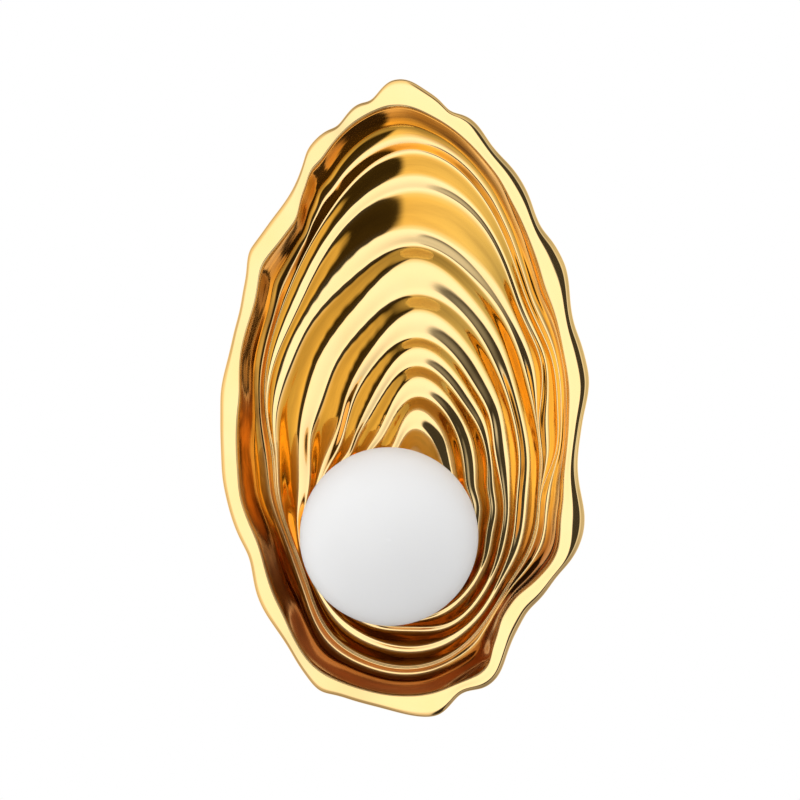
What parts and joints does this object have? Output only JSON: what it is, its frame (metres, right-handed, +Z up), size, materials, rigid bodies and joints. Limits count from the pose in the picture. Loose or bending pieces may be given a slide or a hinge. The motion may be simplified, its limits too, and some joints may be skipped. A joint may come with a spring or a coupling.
{
  "type": "wall sconce",
  "caption": "Wall sconce with a ridged, egg-shaped polished gold shell dish and an opal glass globe screwed on in its lower half.",
  "frame": {"origin": "centre of the wall bracket's slots in the wall plane, on the lamp axis", "axes": "+Z up, -Y out from the wall to the front, +X to the viewer's right"},
  "size_m": [0.2499, 0.1645, 0.4309],
  "materials": {
    "gold_shell": "polished gold plate on a casting",
    "gold_sheet": "satin gold plate",
    "gold_turned": "polished gold plate",
    "gold_screw": "gold plate",
    "zinc_steel": "zinc plate",
    "green_screw": "green passivated steel",
    "brass_raw": "machined",
    "contact_nickel": "nickel plate",
    "ceramic_white": "unglazed, fine",
    "white_plastic": "moulded",
    "lead_black": "insulation",
    "lead_white": "insulation",
    "lead_green": "insulation",
    "opal_glass": "matte opal, etched",
    "silicone_clear": "silicone",
    "silicone_white": "silicone",
    "lamp_glass": "frosted",
    "lamp_source": "phosphor coated"
  },
  "bodies": {
    "fixture": {"wall_bracket": "zinc_steel", "back_pan": "gold_sheet", "pan_side_screws": "gold_screw", "ground_screw": "green_screw", "pan_ground_screw": "green_screw", "shell": "gold_shell", "shell_screws": "zinc_steel", "lamp_pipe": "zinc_steel", "pipe_washer": "zinc_steel", "pipe_nut_rear": "brass_raw", "pipe_nut_front": "brass_raw", "pipe_bushings": "white_plastic", "globe_holder": "gold_turned", "lampholder_bracket": "zinc_steel", "lampholder_body": "ceramic_white", "lampholder_contacts": "contact_nickel", "lampholder_screws": "zinc_steel", "terminal_block": "white_plastic", "terminal_clamps": "brass_raw", "terminal_screws": "zinc_steel", "terminal_block_screw": "zinc_steel", "lead_live": "lead_black", "lead_neutral": "lead_white", "ground_lead": "lead_green"},
    "globe_seal": {"globe_gasket": "silicone_white"},
    "globe": {"globe_collar": "gold_turned", "globe_bond": "silicone_clear", "globe_glass": "opal_glass"},
    "lamp": {"lamp_envelope": "lamp_glass", "lamp_base": "ceramic_white", "lamp_pins": "contact_nickel", "lamp_led_core": "lamp_source"}
  },
  "joints": [
    {"name": "globe_travel", "type": "slide", "parent": "fixture", "child": "globe_seal", "axis": [0, -1, 0], "range_m": [0, 0.01]},
    {"name": "globe_turn", "type": "hinge", "parent": "globe_seal", "child": "globe", "pos_m": [0, -0.1045, 0], "axis": [0, -1, 0], "range_deg": [0, 900]},
    {"name": "lamp_pull", "type": "slide", "parent": "fixture", "child": "lamp", "axis": [0, -1, 0], "range_m": [0, 0.014]}
  ],
  "couplings": [
    {"joint": "globe_travel", "follows": "globe_turn", "m_per_rad": 0.00063662}
  ]
}
